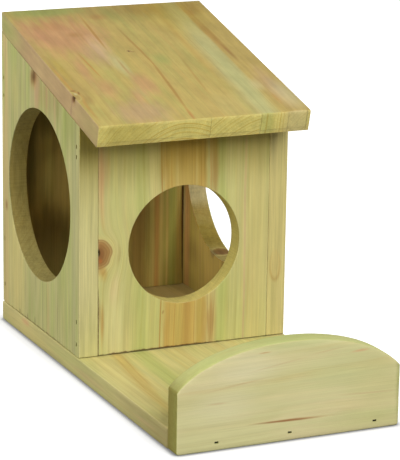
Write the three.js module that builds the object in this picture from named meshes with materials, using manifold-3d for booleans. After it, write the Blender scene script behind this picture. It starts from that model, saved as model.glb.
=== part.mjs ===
import * as THREE from 'three';
import { mergeVertices } from 'three/addons/utils/BufferGeometryUtils.js';
import Module from 'manifold-3d';

// Squirrel feeder box: a small lean-to house at the back of a long base board, open through
// three round holes, with an arched lip board across the front end of the feeding tray.
// Millimetres. X runs to the right, Y from the tray to the back, Z up. The origin is the
// centre of the footprint, on the underside of the base board.

const wasm = await Module();
wasm.setup();

// Driving sizes of the boards
const bodyWidth = 175;
const bodyDepth = 172.5;
const frontHeight = 183.2;
const rearHeight = 226.6;
const trayLength = 172.5;
const baseThickness = 15.5;
const baseMargin = 1;
const sideThickness = 15.5;
const frontThickness = 15.5;
const backThickness = 9;
const roofThickness = 15.5;
const roofOverhang = 34.8;
const lipThickness = 15.5;
const lipEndHeight = 46;
const lipTopHeight = 74.5;
const lipCornerRadius = 2.4;

// Arrises: sanded on the boards that stand free, crisp where boards meet flush
const freeEase = 0.8;
const flushEase = 0.35;

// Driving sizes of the holes, with heights above the base board
const sideRimFront = 19;
const sideRimRear = 15.5;
const sideHoleHeight = 109.5;
const frontHoleDiameter = 94;
const frontHoleHeight = 82.8;

// How far past the lip's own ends the ellipse of its arch would reach
const archReachShare = 1.07;

// How far an outline's rounded corner reaches along its sides, as a share of the ease
const cornerShare = 2.4;

// Fits: glue between boards, room under the front panel and beside the back panel
const glueLine = 0.25;
const floorGap = 0.7;
const backGap = 0.6;

// Brads: flat T-headed pins, driven just below the surface
const bradLength = 30;
const bradWidth = 1.2;
const bradGauge = 1;
const bradHeadWidth = 2.4;
const bradHeadHeight = 1.2;
const bradPointLength = 2;
const bradSink = 0.8;
const bradPlay = 0.3;

// Where the brads go: distances from the edge that they follow
const lipBradHeight = 6;
const frontBradInset = 6;
const lipBradShares = [-0.65, 0, 0.775];
const frontBradShares = [0.052, 0.15, 0.859, 0.903];
const rearBradShares = [0.067, 0.24, 0.77, 0.835];
const floorSideBradShares = [0.2, 0.5, 0.8];
const floorPanelBradShares = [-0.45, 0.45];

// Fineness of the holes, of the corners and of the arrises
const roundSegments = 40;
const cornerSegments = 3;
const arrisSegments = 2;

// How far every cutter runs past what it cuts
const cutOverrun = 5;

// Places worked out from the sizes
const halfBody = bodyWidth / 2;
const halfInside = halfBody - sideThickness;
const halfBase = halfBody + baseMargin;
const rearY = (bodyDepth + trayLength + lipThickness) / 2;
const frontY = rearY - bodyDepth;
const lipBackY = frontY - trayLength;
const lipFrontY = lipBackY - lipThickness;
const seatZ = baseThickness + glueLine;
const roofSlope = (rearHeight - frontHeight) / bodyDepth;
const roofStretch = Math.hypot(1, roofSlope);
const sideHoleRadius = (bodyDepth - sideRimFront - sideRimRear) / 2;
const sideHoleY = rearY - sideRimRear - sideHoleRadius;

// Height of the sides' sloping top edge above the ground at a place along Y
function sideTopAt(y) {
  return seatZ + frontHeight + (y - frontY) * roofSlope;
}

// Takes an outline round a corner, from a point before it to a point past it
function turnCorner(shape, arrive, corner, leave) {
  const bend = new THREE.QuadraticBezierCurve(arrive, corner, leave).getPoints(cornerSegments);
  for (const point of bend) shape.lineTo(point.x, point.y);
}

// Closed outline through the given corners, each rounded so that its arris keeps an even ease
function easedOutline(corners, ease) {
  const shape = new THREE.Shape();
  corners.forEach((corner, index) => {
    const before = corners[(index + corners.length - 1) % corners.length];
    const after = corners[(index + 1) % corners.length];
    const arrive = corner.clone().add(before.clone().sub(corner).setLength(ease * cornerShare));
    const leave = corner.clone().add(after.clone().sub(corner).setLength(ease * cornerShare));
    if (index === 0) shape.moveTo(arrive.x, arrive.y);
    turnCorner(shape, arrive, corner, leave);
  });
  shape.closePath();
  return shape;
}

// Round hole in an outline
function roundHole(x, y, radius) {
  const hole = new THREE.Path();
  hole.absarc(x, y, radius, 0, Math.PI * 2, true);
  return hole;
}

// Board of the given thickness from its outline, with every arris rounded
function easedBoard(shape, thickness, ease) {
  const geometry = new THREE.ExtrudeGeometry(shape, {
    depth: thickness - 2 * ease,
    curveSegments: roundSegments,
    bevelEnabled: true,
    bevelThickness: ease,
    bevelSize: ease,
    bevelOffset: -ease,
    bevelSegments: arrisSegments,
  });
  return geometry.translate(0, 0, ease);
}

// Sharp prism of the given length from its corners
function prism(corners, length) {
  return new THREE.ExtrudeGeometry(new THREE.Shape(corners), { depth: length, bevelEnabled: false });
}

const axisX = new THREE.Vector3(1, 0, 0);
const axisY = new THREE.Vector3(0, 1, 0);
const axisZ = new THREE.Vector3(0, 0, 1);

// Turns a geometry so that its outline lies along the axes across and up, and sets its place
function laid(geometry, across, up, place) {
  const through = across.clone().cross(up);
  const turn = new THREE.Matrix4().makeBasis(across, up, through);
  return geometry.applyMatrix4(turn.setPosition(place));
}

// Solid for joining and cutting, from a closed geometry
function solidOf(geometry) {
  const bare = geometry.clone();
  bare.deleteAttribute('normal');
  bare.deleteAttribute('uv');
  const merged = mergeVertices(bare);
  return new wasm.Manifold(new wasm.Mesh({
    numProp: 3,
    vertProperties: new Float32Array(merged.attributes.position.array),
    triVerts: new Uint32Array(merged.index.array),
  }));
}

// Geometry for a mesh, from a solid
function geometryOf(solid) {
  const cut = solid.getMesh();
  const geometry = new THREE.BufferGeometry();
  geometry.setAttribute('position', new THREE.BufferAttribute(new Float32Array(cut.vertProperties), 3));
  geometry.setIndex(new THREE.BufferAttribute(new Uint32Array(cut.triVerts), 1));
  geometry.computeVertexNormals();
  return geometry;
}

const corner = (x, y) => new THREE.Vector2(x, y);

// Base board under the house and the tray
function baseBoard() {
  const outline = easedOutline([
    corner(-halfBase, lipBackY + glueLine),
    corner(halfBase, lipBackY + glueLine),
    corner(halfBase, rearY),
    corner(-halfBase, rearY),
  ], freeEase);
  return solidOf(easedBoard(outline, baseThickness, freeEase));
}

// Side of the house, with its sloping top and the big round hole; left starts at the outer face
function sideBoard(outerX) {
  const outline = easedOutline([
    corner(frontY, seatZ),
    corner(rearY, seatZ),
    corner(rearY, sideTopAt(rearY)),
    corner(frontY, sideTopAt(frontY)),
  ], flushEase);
  outline.holes.push(roundHole(sideHoleY, baseThickness + sideHoleHeight, sideHoleRadius));
  const board = easedBoard(outline, sideThickness, flushEase);
  return solidOf(laid(board, axisY, axisZ, new THREE.Vector3(outerX, 0, 0)));
}

// Everything above the sloping tops of the sides, to trim the panels to the roof's pitch
function aboveTheSlope() {
  const low = frontY - cutOverrun;
  const high = rearY + cutOverrun;
  const ceiling = sideTopAt(high) + cutOverrun;
  const outline = [
    corner(low, sideTopAt(low)),
    corner(high, sideTopAt(high)),
    corner(high, ceiling),
    corner(low, ceiling),
  ];
  const block = prism(outline, bodyWidth + 2 * cutOverrun);
  return solidOf(laid(block, axisY, axisZ, new THREE.Vector3(-halfBody - cutOverrun, 0, 0)));
}

// Upright panel between the sides, its face at faceY looking forwards, trimmed to the pitch
function uprightPanel(faceY, thickness, sideGap, bottomZ, holes) {
  const reach = halfInside - sideGap;
  const topZ = sideTopAt(faceY + thickness) + cutOverrun;
  const outline = easedOutline([
    corner(-reach, bottomZ),
    corner(reach, bottomZ),
    corner(reach, topZ),
    corner(-reach, topZ),
  ], flushEase);
  outline.holes.push(...holes);
  const board = easedBoard(outline, thickness, flushEase);
  const place = new THREE.Vector3(0, faceY + thickness, 0);
  return solidOf(laid(board, axisX, axisZ, place)).subtract(aboveTheSlope());
}

// Front panel with the smaller round hole
function frontPanel() {
  const hole = roundHole(0, baseThickness + frontHoleHeight, frontHoleDiameter / 2);
  return uprightPanel(frontY, frontThickness, glueLine, baseThickness + floorGap, [hole]);
}

// Thinner back panel, with a little room beside it
function backPanel() {
  return uprightPanel(rearY - backThickness, backThickness, backGap, seatZ, []);
}

// Roof board on the slope: plumb and flush at the back, cut square at the eaves in front
function roofBoard() {
  const underZ = (y) => sideTopAt(y) + glueLine * roofStretch;
  const eavesY = frontY - roofOverhang;
  const squareY = -roofThickness * roofSlope / roofStretch;
  const squareZ = roofThickness / roofStretch;
  const outline = easedOutline([
    corner(eavesY, underZ(eavesY)),
    corner(rearY, underZ(rearY)),
    corner(rearY, underZ(rearY) + roofThickness * roofStretch),
    corner(eavesY + squareY, underZ(eavesY) + squareZ),
  ], freeEase);
  const board = easedBoard(outline, bodyWidth, freeEase);
  return solidOf(laid(board, axisY, axisZ, new THREE.Vector3(-halfBody, 0, 0)));
}

// Lip board: straight ends and bottom, and a top that is the upper part of a flat ellipse
function lipBoard() {
  const reach = halfBase * archReachShare;
  const endShare = Math.sqrt(1 - 1 / archReachShare ** 2);
  const rise = (lipTopHeight - lipEndHeight) / (1 - endShare);
  const endAngle = Math.acos(1 / archReachShare);
  const left = corner(-halfBase, lipCornerRadius);
  const right = corner(halfBase, lipCornerRadius);
  const outline = new THREE.Shape();
  outline.moveTo(left.x, left.y);
  turnCorner(outline, left, corner(-halfBase, 0), corner(-halfBase + lipCornerRadius, 0));
  turnCorner(outline, corner(halfBase - lipCornerRadius, 0), corner(halfBase, 0), right);
  outline.lineTo(halfBase, lipEndHeight);
  outline.absellipse(0, lipTopHeight - rise, reach, rise, endAngle, Math.PI - endAngle, false);
  outline.closePath();
  const board = easedBoard(outline, lipThickness, freeEase);
  return solidOf(laid(board, axisX, axisZ, new THREE.Vector3(0, lipBackY, 0)));
}

// Flat T-headed pin with a chisel point, its head's face at zero and its point along +Y.
// The same outline, grown by the play and led out past the surface, makes the slot for it.
function bradGeometry(play, lead) {
  const shank = bradWidth / 2 + play;
  const head = bradHeadWidth / 2 + play;
  const neck = bradHeadHeight + play;
  const tip = bradLength + play;
  const thickness = bradGauge + 2 * play;
  const pin = prism([
    corner(-head, -lead),
    corner(head, -lead),
    corner(head, neck),
    corner(shank, neck + head - shank),
    corner(shank, tip - bradPointLength),
    corner(0, tip),
    corner(-shank, tip - bradPointLength),
    corner(-shank, neck + head - shank),
    corner(-head, neck),
  ], thickness);
  return pin.translate(0, 0, -thickness / 2);
}

// One brad: its name, the point where it enters, its drive and the line that its head follows
function brad(name, entry, drive, headLine) {
  const place = entry.clone().addScaledVector(drive, bradSink);
  return {
    name,
    pin: laid(bradGeometry(0, 0), headLine, drive, place),
    slot: solidOf(laid(bradGeometry(bradPlay, bradSink + cutOverrun), headLine, drive, place)),
  };
}

// Brads through the lip into the front end of the base board
function lipBrads() {
  return lipBradShares.map((share, index) => brad(
    `brad_lip_${index + 1}`,
    new THREE.Vector3(share * halfBase, lipFrontY, lipBradHeight),
    axisY,
    axisX,
  ));
}

// Brads through one side into the edges of the front panel and the back panel
function sideBrads(label, outerX, drive) {
  const rows = [
    { row: 'front', y: frontY + frontBradInset, height: frontHeight, shares: frontBradShares },
    { row: 'back', y: rearY - backThickness / 2, height: rearHeight, shares: rearBradShares },
  ];
  return rows.flatMap(({ row, y, height, shares }) => shares.map((share, index) => brad(
    `brad_${label}_${row}_${index + 1}`,
    new THREE.Vector3(outerX, y, seatZ + share * height),
    drive,
    axisZ,
  )));
}

// Brads from below, through the base board into the sides and the two panels
function floorBrads() {
  const sideX = halfBody - sideThickness / 2;
  const spots = [];
  for (const [label, x] of [['left', -sideX], ['right', sideX]]) {
    floorSideBradShares.forEach((share, index) => {
      spots.push({ name: `brad_floor_${label}_${index + 1}`, x, y: frontY + share * bodyDepth });
    });
  }
  const panels = [['front', frontY + frontThickness / 2], ['back', rearY - backThickness / 2]];
  for (const [label, y] of panels) {
    floorPanelBradShares.forEach((share, index) => {
      spots.push({ name: `brad_floor_${label}_${index + 1}`, x: share * halfInside, y });
    });
  }
  return spots.map(({ name, x, y }) => brad(name, new THREE.Vector3(x, y, 0), axisZ, axisY));
}

// Finishes: pressure-treated pine, pale green to straw, and dark steel
const finishes = {
  base: { color: 0xbdb878, roughness: 0.72 },
  side: { color: 0xaeac74, roughness: 0.74 },
  front: { color: 0xb8ad62, roughness: 0.72 },
  back: { color: 0x8f8050, roughness: 0.78 },
  roof: { color: 0xc2a866, roughness: 0.66 },
  lip: { color: 0xc9c592, roughness: 0.74 },
  steel: { color: 0x3a3630, roughness: 0.5, metalness: 0.8 },
};

// Named mesh with its own material
function piece(name, geometry, finish) {
  const mesh = new THREE.Mesh(geometry, new THREE.MeshStandardMaterial({ metalness: 0, ...finish }));
  mesh.name = name;
  return mesh;
}

const brads = [
  ...lipBrads(),
  ...sideBrads('left', -halfBody, axisX),
  ...sideBrads('right', halfBody, axisX.clone().negate()),
  ...floorBrads(),
];

const boards = [
  ['base_board', baseBoard(), finishes.base],
  ['left_side', sideBoard(-halfBody), finishes.side],
  ['right_side', sideBoard(halfInside), finishes.side],
  ['front_panel', frontPanel(), finishes.front],
  ['back_panel', backPanel(), finishes.back],
  ['roof_board', roofBoard(), finishes.roof],
  ['lip_board', lipBoard(), finishes.lip],
];

const feeder = new THREE.Group();
const house = new THREE.Group();
const pins = new THREE.Group();
feeder.add(house, pins);

for (const [name, blank, finish] of boards) {
  const slotted = brads.reduce((solid, { slot }) => solid.subtract(slot), blank);
  house.add(piece(name, geometryOf(slotted), finish));
}
for (const { name, pin } of brads) pins.add(piece(name, pin, finishes.steel));

export default feeder;
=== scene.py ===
"""Looks of the squirrel feeder box: treated pine boards, steel brads, a plain studio and a camera."""

import math
from collections import namedtuple
from dataclasses import dataclass

import bmesh
import bpy
from mathutils import Matrix, Vector, noise


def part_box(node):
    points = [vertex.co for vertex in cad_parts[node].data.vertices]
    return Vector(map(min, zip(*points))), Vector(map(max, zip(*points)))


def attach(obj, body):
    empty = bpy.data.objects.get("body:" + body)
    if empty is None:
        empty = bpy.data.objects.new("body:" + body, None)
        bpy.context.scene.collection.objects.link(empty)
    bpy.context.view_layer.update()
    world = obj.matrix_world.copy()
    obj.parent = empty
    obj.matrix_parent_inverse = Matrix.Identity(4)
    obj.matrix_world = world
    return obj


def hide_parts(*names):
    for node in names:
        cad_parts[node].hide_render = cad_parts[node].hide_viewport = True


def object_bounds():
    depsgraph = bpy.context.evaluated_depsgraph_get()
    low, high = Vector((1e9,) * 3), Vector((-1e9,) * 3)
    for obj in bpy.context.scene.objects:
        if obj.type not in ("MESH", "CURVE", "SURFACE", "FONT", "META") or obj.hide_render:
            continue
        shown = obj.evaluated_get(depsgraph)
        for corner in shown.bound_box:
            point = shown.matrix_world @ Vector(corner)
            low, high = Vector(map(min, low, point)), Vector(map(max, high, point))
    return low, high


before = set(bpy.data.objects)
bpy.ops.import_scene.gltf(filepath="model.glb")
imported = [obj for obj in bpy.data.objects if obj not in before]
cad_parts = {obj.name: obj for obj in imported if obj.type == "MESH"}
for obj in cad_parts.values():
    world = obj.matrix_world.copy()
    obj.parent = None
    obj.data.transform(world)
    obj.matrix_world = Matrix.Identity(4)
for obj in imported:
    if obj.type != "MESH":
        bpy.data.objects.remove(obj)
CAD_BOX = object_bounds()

bl_info = {
    "name": "Squirrel feeder box",
    "version": (1, 0, 0),
    "blender": (4, 5, 0),
    "location": "3D View > Sidebar > Feeder",
    "description": "Dresses a small timber feeder house in treated pine and lights it in a plain studio",
    "category": "Object",
}

MM = 0.001
PER_MM = 1 / MM

# Sockets of a colour mix node
MIX_FACTOR = 0
MIX_A = 6
MIX_B = 7
MIX_RESULT = 2

# The same of a vector mix node
VECTOR_A = 4
VECTOR_B = 5
VECTOR_RESULT = 1


def screen(red, green, blue):
    """Linear colour of a screen colour given from 0 to 255."""
    channels = []
    for level in (red, green, blue):
        share = level / 255
        low = share / 12.92
        high = ((share + 0.055) / 1.055) ** 2.4
        channels.append(low if share <= 0.04045 else high)
    return (*channels, 1.0)


# Timber tones of treated pine, by a maker's plain words
TONES = {
    "chalk": screen(224, 216, 180),
    "cream": screen(214, 203, 152),
    "pale": screen(196, 188, 128),
    "straw": screen(204, 188, 122),
    "sand": screen(196, 174, 118),
    "yellow": screen(196, 172, 84),
    "honey": screen(192, 168, 98),
    "tan": screen(188, 158, 84),
    "orange": screen(194, 146, 76),
    "rust": screen(184, 126, 76),
    "amber": screen(170, 126, 62),
    "salmon": screen(206, 152, 112),
    "rose": screen(192, 160, 120),
    "blush": screen(222, 190, 150),
    "brown": screen(140, 96, 56),
    "umber": screen(84, 54, 30),
    "ochre": screen(172, 150, 30),
    "dark": screen(46, 36, 8),
    "mint": screen(186, 192, 130),
    "green": screen(166, 176, 98),
    "moss": screen(138, 146, 74),
    "grey": screen(156, 156, 120),
    "resin": screen(176, 104, 54),
    "heart": screen(164, 122, 70),
}


class FEEDER_PG_finish(bpy.types.PropertyGroup):
    """Tones and strengths of planed, treated pine and of dulled steel."""

    treatment: bpy.props.FloatVectorProperty(
        name="Treatment",
        description="Tone that the treatment leaves on the pine in blotches",
        default=TONES["green"],
        size=4,
        min=0,
        max=1,
        subtype="COLOR",
    )
    steel: bpy.props.FloatVectorProperty(
        name="Steel",
        description="Tone of the brads where their steel is brightest",
        default=screen(70, 64, 50),
        size=4,
        min=0,
        max=1,
        subtype="COLOR",
    )
    grain: bpy.props.FloatProperty(
        name="Grain", description="Depth of colour of the late wood lines", default=1.0, min=0, max=2
    )
    fibre: bpy.props.FloatProperty(
        name="Fibre", description="Strength of the fine streaks along the grain", default=1.0, min=0, max=2
    )
    # Pale arrises: partly sanded wood, partly painted highlight
    wear_and_highlight: bpy.props.FloatProperty(
        name="Arris wear",
        description="How pale the sanded arrises are",
        default=0.5,
        min=0,
        max=1,
        subtype="FACTOR",
    )
    sheen: bpy.props.FloatProperty(
        name="Sheen",
        description="How much the dry surface mirrors",
        default=0.1,
        min=0,
        max=1,
        subtype="FACTOR",
    )
    relief: bpy.props.FloatProperty(
        name="Relief", description="Height of the raised grain", default=0.12 * MM, min=0, unit="LENGTH"
    )


class FEEDER_PG_studio(bpy.types.PropertyGroup):
    """Camera and light of the studio."""

    lens: bpy.props.FloatProperty(
        name="Lens",
        description="Focal length of the camera in millimetres",
        default=183.1,
        min=1,
        unit="CAMERA",
    )
    azimuth: bpy.props.FloatProperty(
        name="Azimuth",
        description="Turn of the camera round the feeder, from straight in front",
        default=math.radians(-24.50),
        subtype="ANGLE",
    )
    elevation: bpy.props.FloatProperty(
        name="Elevation",
        description="Height angle of the camera",
        default=math.radians(14.58),
        subtype="ANGLE",
    )
    roll: bpy.props.FloatProperty(
        name="Roll",
        description="Lean of the camera to its side",
        default=math.radians(0.842),
        subtype="ANGLE",
    )
    distance: bpy.props.FloatProperty(
        name="Distance",
        description="From the camera to what it looks at",
        default=1.7977,
        unit="LENGTH",
    )
    target: bpy.props.FloatVectorProperty(
        name="Target",
        description="What the camera looks at",
        default=(0.00608, -0.00741, 0.11275),
        unit="LENGTH",
    )
    daylight: bpy.props.FloatProperty(
        name="Daylight", description="Strength of the even light from all round", default=0.1, min=0
    )
    key: bpy.props.FloatProperty(
        name="Key", description="Power of the front light", default=29.5, min=0, unit="POWER"
    )
    fill: bpy.props.FloatProperty(
        name="Fill", description="Power of the left light", default=25, min=0, unit="POWER"
    )
    right: bpy.props.FloatProperty(
        name="Right", description="Power of the right light", default=12, min=0, unit="POWER"
    )
    back: bpy.props.FloatProperty(
        name="Back", description="Power of the rear light", default=20, min=0, unit="POWER"
    )


class Graph:
    """Places nodes in one tree and wires them, so that a material reads as plain sums."""

    def __init__(self, tree):
        self.tree = tree

    def add(self, kind, inputs=None, **settings):
        node = self.tree.nodes.new(kind)
        for name, value in settings.items():
            setattr(node, name, value)
        for key, value in (inputs or {}).items():
            self.feed(node.inputs[key], value)
        return node

    def feed(self, socket, value):
        if isinstance(value, bpy.types.NodeSocket):
            self.tree.links.new(value, socket)
        else:
            socket.default_value = value

    def maths(self, operation, *values):
        node = self.add("ShaderNodeMath", operation=operation)
        for socket, value in zip(node.inputs, values):
            self.feed(socket, value)
        return node.outputs[0]

    def plus(self, a, b):
        return self.maths("ADD", a, b)

    def minus(self, a, b):
        return self.maths("SUBTRACT", a, b)

    def times(self, a, b):
        return self.maths("MULTIPLY", a, b)

    def over(self, a, b):
        return self.maths("DIVIDE", a, b)

    def apart(self, a, b):
        """How far one value is from another."""
        return self.maths("ABSOLUTE", self.minus(a, b))

    def vector(self, operation, *values):
        node = self.add("ShaderNodeVectorMath", operation=operation)
        for socket, value in zip(node.inputs, values):
            self.feed(socket, value)
        return node.outputs["Value" if operation in ("LENGTH", "DOT_PRODUCT") else "Vector"]

    def stretched(self, vector, factors):
        return self.vector("MULTIPLY", vector, factors)

    def less(self, a, b):
        """One vector less another."""
        return self.vector("SUBTRACT", a, b)

    def scaled(self, vector, factor):
        node = self.add("ShaderNodeVectorMath", {0: vector, "Scale": factor}, operation="SCALE")
        return node.outputs["Vector"]

    def parts(self, vector):
        return self.add("ShaderNodeSeparateXYZ", {0: vector}).outputs

    def joined(self, x, y, z):
        return self.add("ShaderNodeCombineXYZ", {0: x, 1: y, 2: z}).outputs[0]

    def rise(self, value, low, high, start=0.0, end=1.0):
        """Value that goes softly from start to end while the input goes from low to high."""
        inputs = {"Value": value, "From Min": low, "From Max": high, "To Min": start, "To Max": end}
        return self.add("ShaderNodeMapRange", inputs, interpolation_type="SMOOTHSTEP").outputs["Result"]

    def noise(self, vector, detail=2.0, roughness=0.5, scale=1.0):
        inputs = {"Vector": vector, "Scale": scale, "Detail": detail, "Roughness": roughness}
        return self.add("ShaderNodeTexNoise", inputs).outputs

    def cloud(self, vector, detail=2.0, roughness=0.5, scale=1.0):
        """Noise as a single value, mostly from 0.3 to 0.7."""
        return self.noise(vector, detail, roughness, scale)["Fac"]

    def swing(self, vector, detail=2.0, roughness=0.5):
        """Noise as a single value that swings round zero."""
        return self.minus(self.cloud(vector, detail, roughness), 0.5)

    def mix(self, factor, a, b, blend="MIX"):
        inputs = {MIX_FACTOR: factor, MIX_A: a, MIX_B: b}
        node = self.add("ShaderNodeMix", inputs, data_type="RGBA", blend_type=blend)
        return node.outputs[MIX_RESULT]

    def tinted(self, factor, colour, tone):
        """Colour multiplied by a tone, as far as the factor says."""
        return self.mix(factor, colour, self.mix(1.0, colour, tone, "MULTIPLY"))

    def choice(self, factor, a, b):
        """One of two vectors, the second where the factor is 1."""
        inputs = {MIX_FACTOR: factor, VECTOR_A: a, VECTOR_B: b}
        node = self.add("ShaderNodeMix", inputs, data_type="VECTOR")
        return node.outputs[VECTOR_RESULT]

    def group(self, name, **inputs):
        node = self.add("ShaderNodeGroup", node_tree=bpy.data.node_groups[name])
        for key, value in inputs.items():
            self.feed(node.inputs[key.replace("_", " ")], value)
        return node.outputs


FLOAT = "NodeSocketFloat"
VECTOR = "NodeSocketVector"
ZERO = (0, 0, 0)

# How fast each kind of unevenness changes per millimetre: across the grain, along it and inwards,
# or the same all ways
SWAY_PACE = (0.02, 0.006, 0.02)
RAG_PACE = (0.2, 0.035, 0.2)
BLOTCH_PACE = (0.035, 0.008, 0.035)
STRIPE_PACE = (0.13, 0.003, 0.13)
FADE_PACE = (0.06, 0.009, 0.06)
MOTTLE_PACE = (0.09, 0.035, 0.09)
KNOT_PACE = 0.07
PALE_ARRIS_PACE = 0.3
PORE_PACE = 1.6

# How strongly each kind of unevenness lightens and darkens the timber, and how high late wood stands
FINE_SHADE = 0.28
STREAK_SHADE = 0.30
MOTTLE_SHADE = 0.3
CHATTER_SHADE = 0.5
LATE_HEIGHT = 0.35

# How much rougher fibres and cut ends are
FIBRE_ROUGHNESS = 0.2
END_ROUGHNESS = 0.15

# How much of its own tone the wall of a hole takes
WALL_SHARE = 0.85

# Which parts of a vector lie across the grain
ACROSS_ONLY = (1, 0, 1)

# How fast streaks change for fine fibres' pace
STREAK_PACE_SHARES = (0.2, 0.5, 0.2)


def shader_group(name, inputs, outputs):
    """New shader node group with named sockets: returns its graph, its inputs and its outputs."""
    tree = bpy.data.node_groups.new(name, "ShaderNodeTree")
    for label, kind, default in inputs:
        socket = tree.interface.new_socket(label, in_out="INPUT", socket_type=kind)
        socket.default_value = default
    for label, kind in outputs:
        tree.interface.new_socket(label, in_out="OUTPUT", socket_type=kind)
    source = tree.nodes.new("NodeGroupInput")
    sink = tree.nodes.new("NodeGroupOutput")
    return Graph(tree), source.outputs, sink.inputs


def build_sway():
    """Slow waver of the grain, in millimetres, that rings, bands and lines follow alike."""
    graph, given, made = shader_group(
        "Sway", [("Position", VECTOR, ZERO), ("Waver", FLOAT, 4.0)], [("Bent", VECTOR)]
    )
    slow = graph.stretched(given["Position"], SWAY_PACE)
    sway = graph.less(graph.noise(slow)["Color"], (0.5, 0.5, 0.5))
    sway = graph.stretched(sway, ACROSS_ONLY)
    graph.feed(made["Bent"], graph.vector("ADD", given["Position"], graph.scaled(sway, given["Waver"])))


def build_growth_rings():
    """Growth rings round a pith that may drift along the grain, in millimetres of grain space."""
    graph, given, made = shader_group(
        "Growth rings",
        [
            ("Position", VECTOR, ZERO),
            ("Pith", VECTOR, (0, 0, -40)),
            ("Lean", VECTOR, ZERO),
            ("Spacing", FLOAT, 3.0),
        ],
        [("Late wood", FLOAT), ("Ring tone", FLOAT)],
    )
    place = given["Position"]
    drift = graph.scaled(given["Lean"], graph.parts(place)[1])
    offset = graph.less(graph.less(place, given["Pith"]), drift)
    radius = graph.vector("LENGTH", graph.stretched(offset, ACROSS_ONLY))
    count = graph.over(radius, given["Spacing"])
    uneven = graph.cloud(graph.joined(graph.times(count, 0.6), 3.7, 1.3), 1.0)
    count = graph.plus(count, graph.times(uneven, 2.6))
    share = graph.maths("FRACT", count)
    swell = graph.rise(share, 0.35, 0.88)
    drop = graph.rise(share, 0.92, 1.0, 1.0, 0.0)
    tone = graph.add("ShaderNodeTexWhiteNoise", {"W": graph.maths("FLOOR", count)}, noise_dimensions="1D")
    graph.feed(made["Late wood"], graph.times(swell, drop))
    graph.feed(made["Ring tone"], tone.outputs["Value"])


def build_fibres():
    """Fine streaks along the grain, which show as pores where the grain is cut across."""
    graph, given, made = shader_group(
        "Fibres",
        [("Position", VECTOR, ZERO), ("Width", FLOAT, 0.8), ("Length", FLOAT, 60.0)],
        [("Fine", FLOAT), ("Streak", FLOAT)],
    )
    across = graph.over(1.0, given["Width"])
    along = graph.over(1.0, given["Length"])
    fine = graph.stretched(given["Position"], graph.joined(across, along, across))
    graph.feed(made["Fine"], graph.swing(fine, 3.0, 0.6))
    graph.feed(made["Streak"], graph.swing(graph.stretched(fine, STREAK_PACE_SHARES), 2.0, 0.6))


def build_patch():
    """Long or round patch with soft and ragged edges, the same through the board's thickness."""
    graph, given, made = shader_group(
        "Patch",
        [
            ("Position", VECTOR, ZERO),
            ("Rag", FLOAT, 0.0),
            ("Centre", VECTOR, ZERO),
            ("Half width", FLOAT, 5.0),
            ("Half length", FLOAT, 20.0),
            ("Lean", FLOAT, 0.0),
            ("Softness", FLOAT, 0.6),
            ("Ragged", FLOAT, 0.4),
        ],
        [("Mask", FLOAT)],
    )
    offset = graph.parts(graph.less(given["Position"], given["Centre"]))
    across = graph.minus(offset[0], graph.times(offset[1], given["Lean"]))
    across = graph.over(across, given["Half width"])
    along = graph.over(offset[1], given["Half length"])
    reach = graph.vector("LENGTH", graph.joined(across, along, 0.0))
    reach = graph.plus(reach, graph.times(given["Rag"], given["Ragged"]))
    inner = graph.minus(1.0, given["Softness"])
    graph.feed(made["Mask"], graph.rise(reach, inner, 1.0, 1.0, 0.0))


def build_knot():
    """Knot that runs through the board: bends the grain round it and gives how far out a point is."""
    graph, given, made = shader_group(
        "Knot",
        [
            ("Position", VECTOR, ZERO),
            ("Centre", VECTOR, ZERO),
            ("Radius", FLOAT, 8.0),
            ("Stretch", FLOAT, 1.2),
            ("Depth", FLOAT, 100.0),
        ],
        [("Bent", VECTOR), ("Reach", FLOAT)],
    )
    place = given["Position"]
    shorter = graph.over(1.0, given["Stretch"])
    deep = graph.over(given["Radius"], given["Depth"])
    offset = graph.stretched(graph.less(place, given["Centre"]), graph.joined(1.0, shorter, deep))
    uneven = graph.swing(graph.scaled(place, KNOT_PACE), 1.0)
    reach = graph.over(graph.vector("LENGTH", offset), given["Radius"])
    reach = graph.plus(reach, graph.times(uneven, 0.4))
    squared = graph.times(reach, reach)
    push = graph.maths("MAXIMUM", graph.minus(1.0, graph.over(1.0, squared)), 0.0)
    shift = graph.times(graph.parts(offset)[0], graph.minus(push, 1.0))
    graph.feed(made["Bent"], graph.vector("ADD", place, graph.joined(shift, 0.0, 0.0)))
    graph.feed(made["Reach"], reach)


def build_end_grain():
    """How far a face cuts across the grain, from its normal."""
    graph, given, made = shader_group(
        "End grain", [("Normal", VECTOR, (0, 0, 1)), ("Grain", VECTOR, (0, 1, 0))], [("Mask", FLOAT)]
    )
    lined = graph.maths("ABSOLUTE", graph.vector("DOT_PRODUCT", given["Normal"], given["Grain"]))
    graph.feed(made["Mask"], graph.rise(lined, 0.45, 0.9))


def build_cutter_marks():
    """Marks that a cutter leaves across the wall of a round hole."""
    graph, given, made = shader_group(
        "Cutter marks",
        [("Position", VECTOR, ZERO), ("Centre", VECTOR, ZERO), ("Radius", FLOAT, 50.0)],
        [("Wall", FLOAT), ("Chatter", FLOAT)],
    )
    offset = graph.parts(graph.less(given["Position"], given["Centre"]))
    radius = graph.vector("LENGTH", graph.joined(offset[0], offset[1], 0.0))
    away = graph.apart(radius, given["Radius"])
    round_wall = graph.times(graph.maths("ARCTAN2", offset[1], offset[0]), given["Radius"])
    place = graph.joined(graph.times(round_wall, 0.9), graph.times(offset[2], 0.02), 0.0)
    graph.feed(made["Wall"], graph.rise(away, 0.3, 1.0, 1.0, 0.0))
    graph.feed(made["Chatter"], graph.swing(place, 2.0, 0.7))


GROUP_BUILDERS = (
    build_sway,
    build_growth_rings,
    build_fibres,
    build_patch,
    build_knot,
    build_end_grain,
    build_cutter_marks,
)

# Patch of another tone in a board: its place and half sizes in millimetres of grain space, how much
# of the tone it takes, how soft and how ragged its edge is, and how far it leans across the grain
Patch = namedtuple(
    "Patch", "tone centre half_width half_length strength soft ragged lean", defaults=(0.9, 0.4, 0.0)
)

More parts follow.
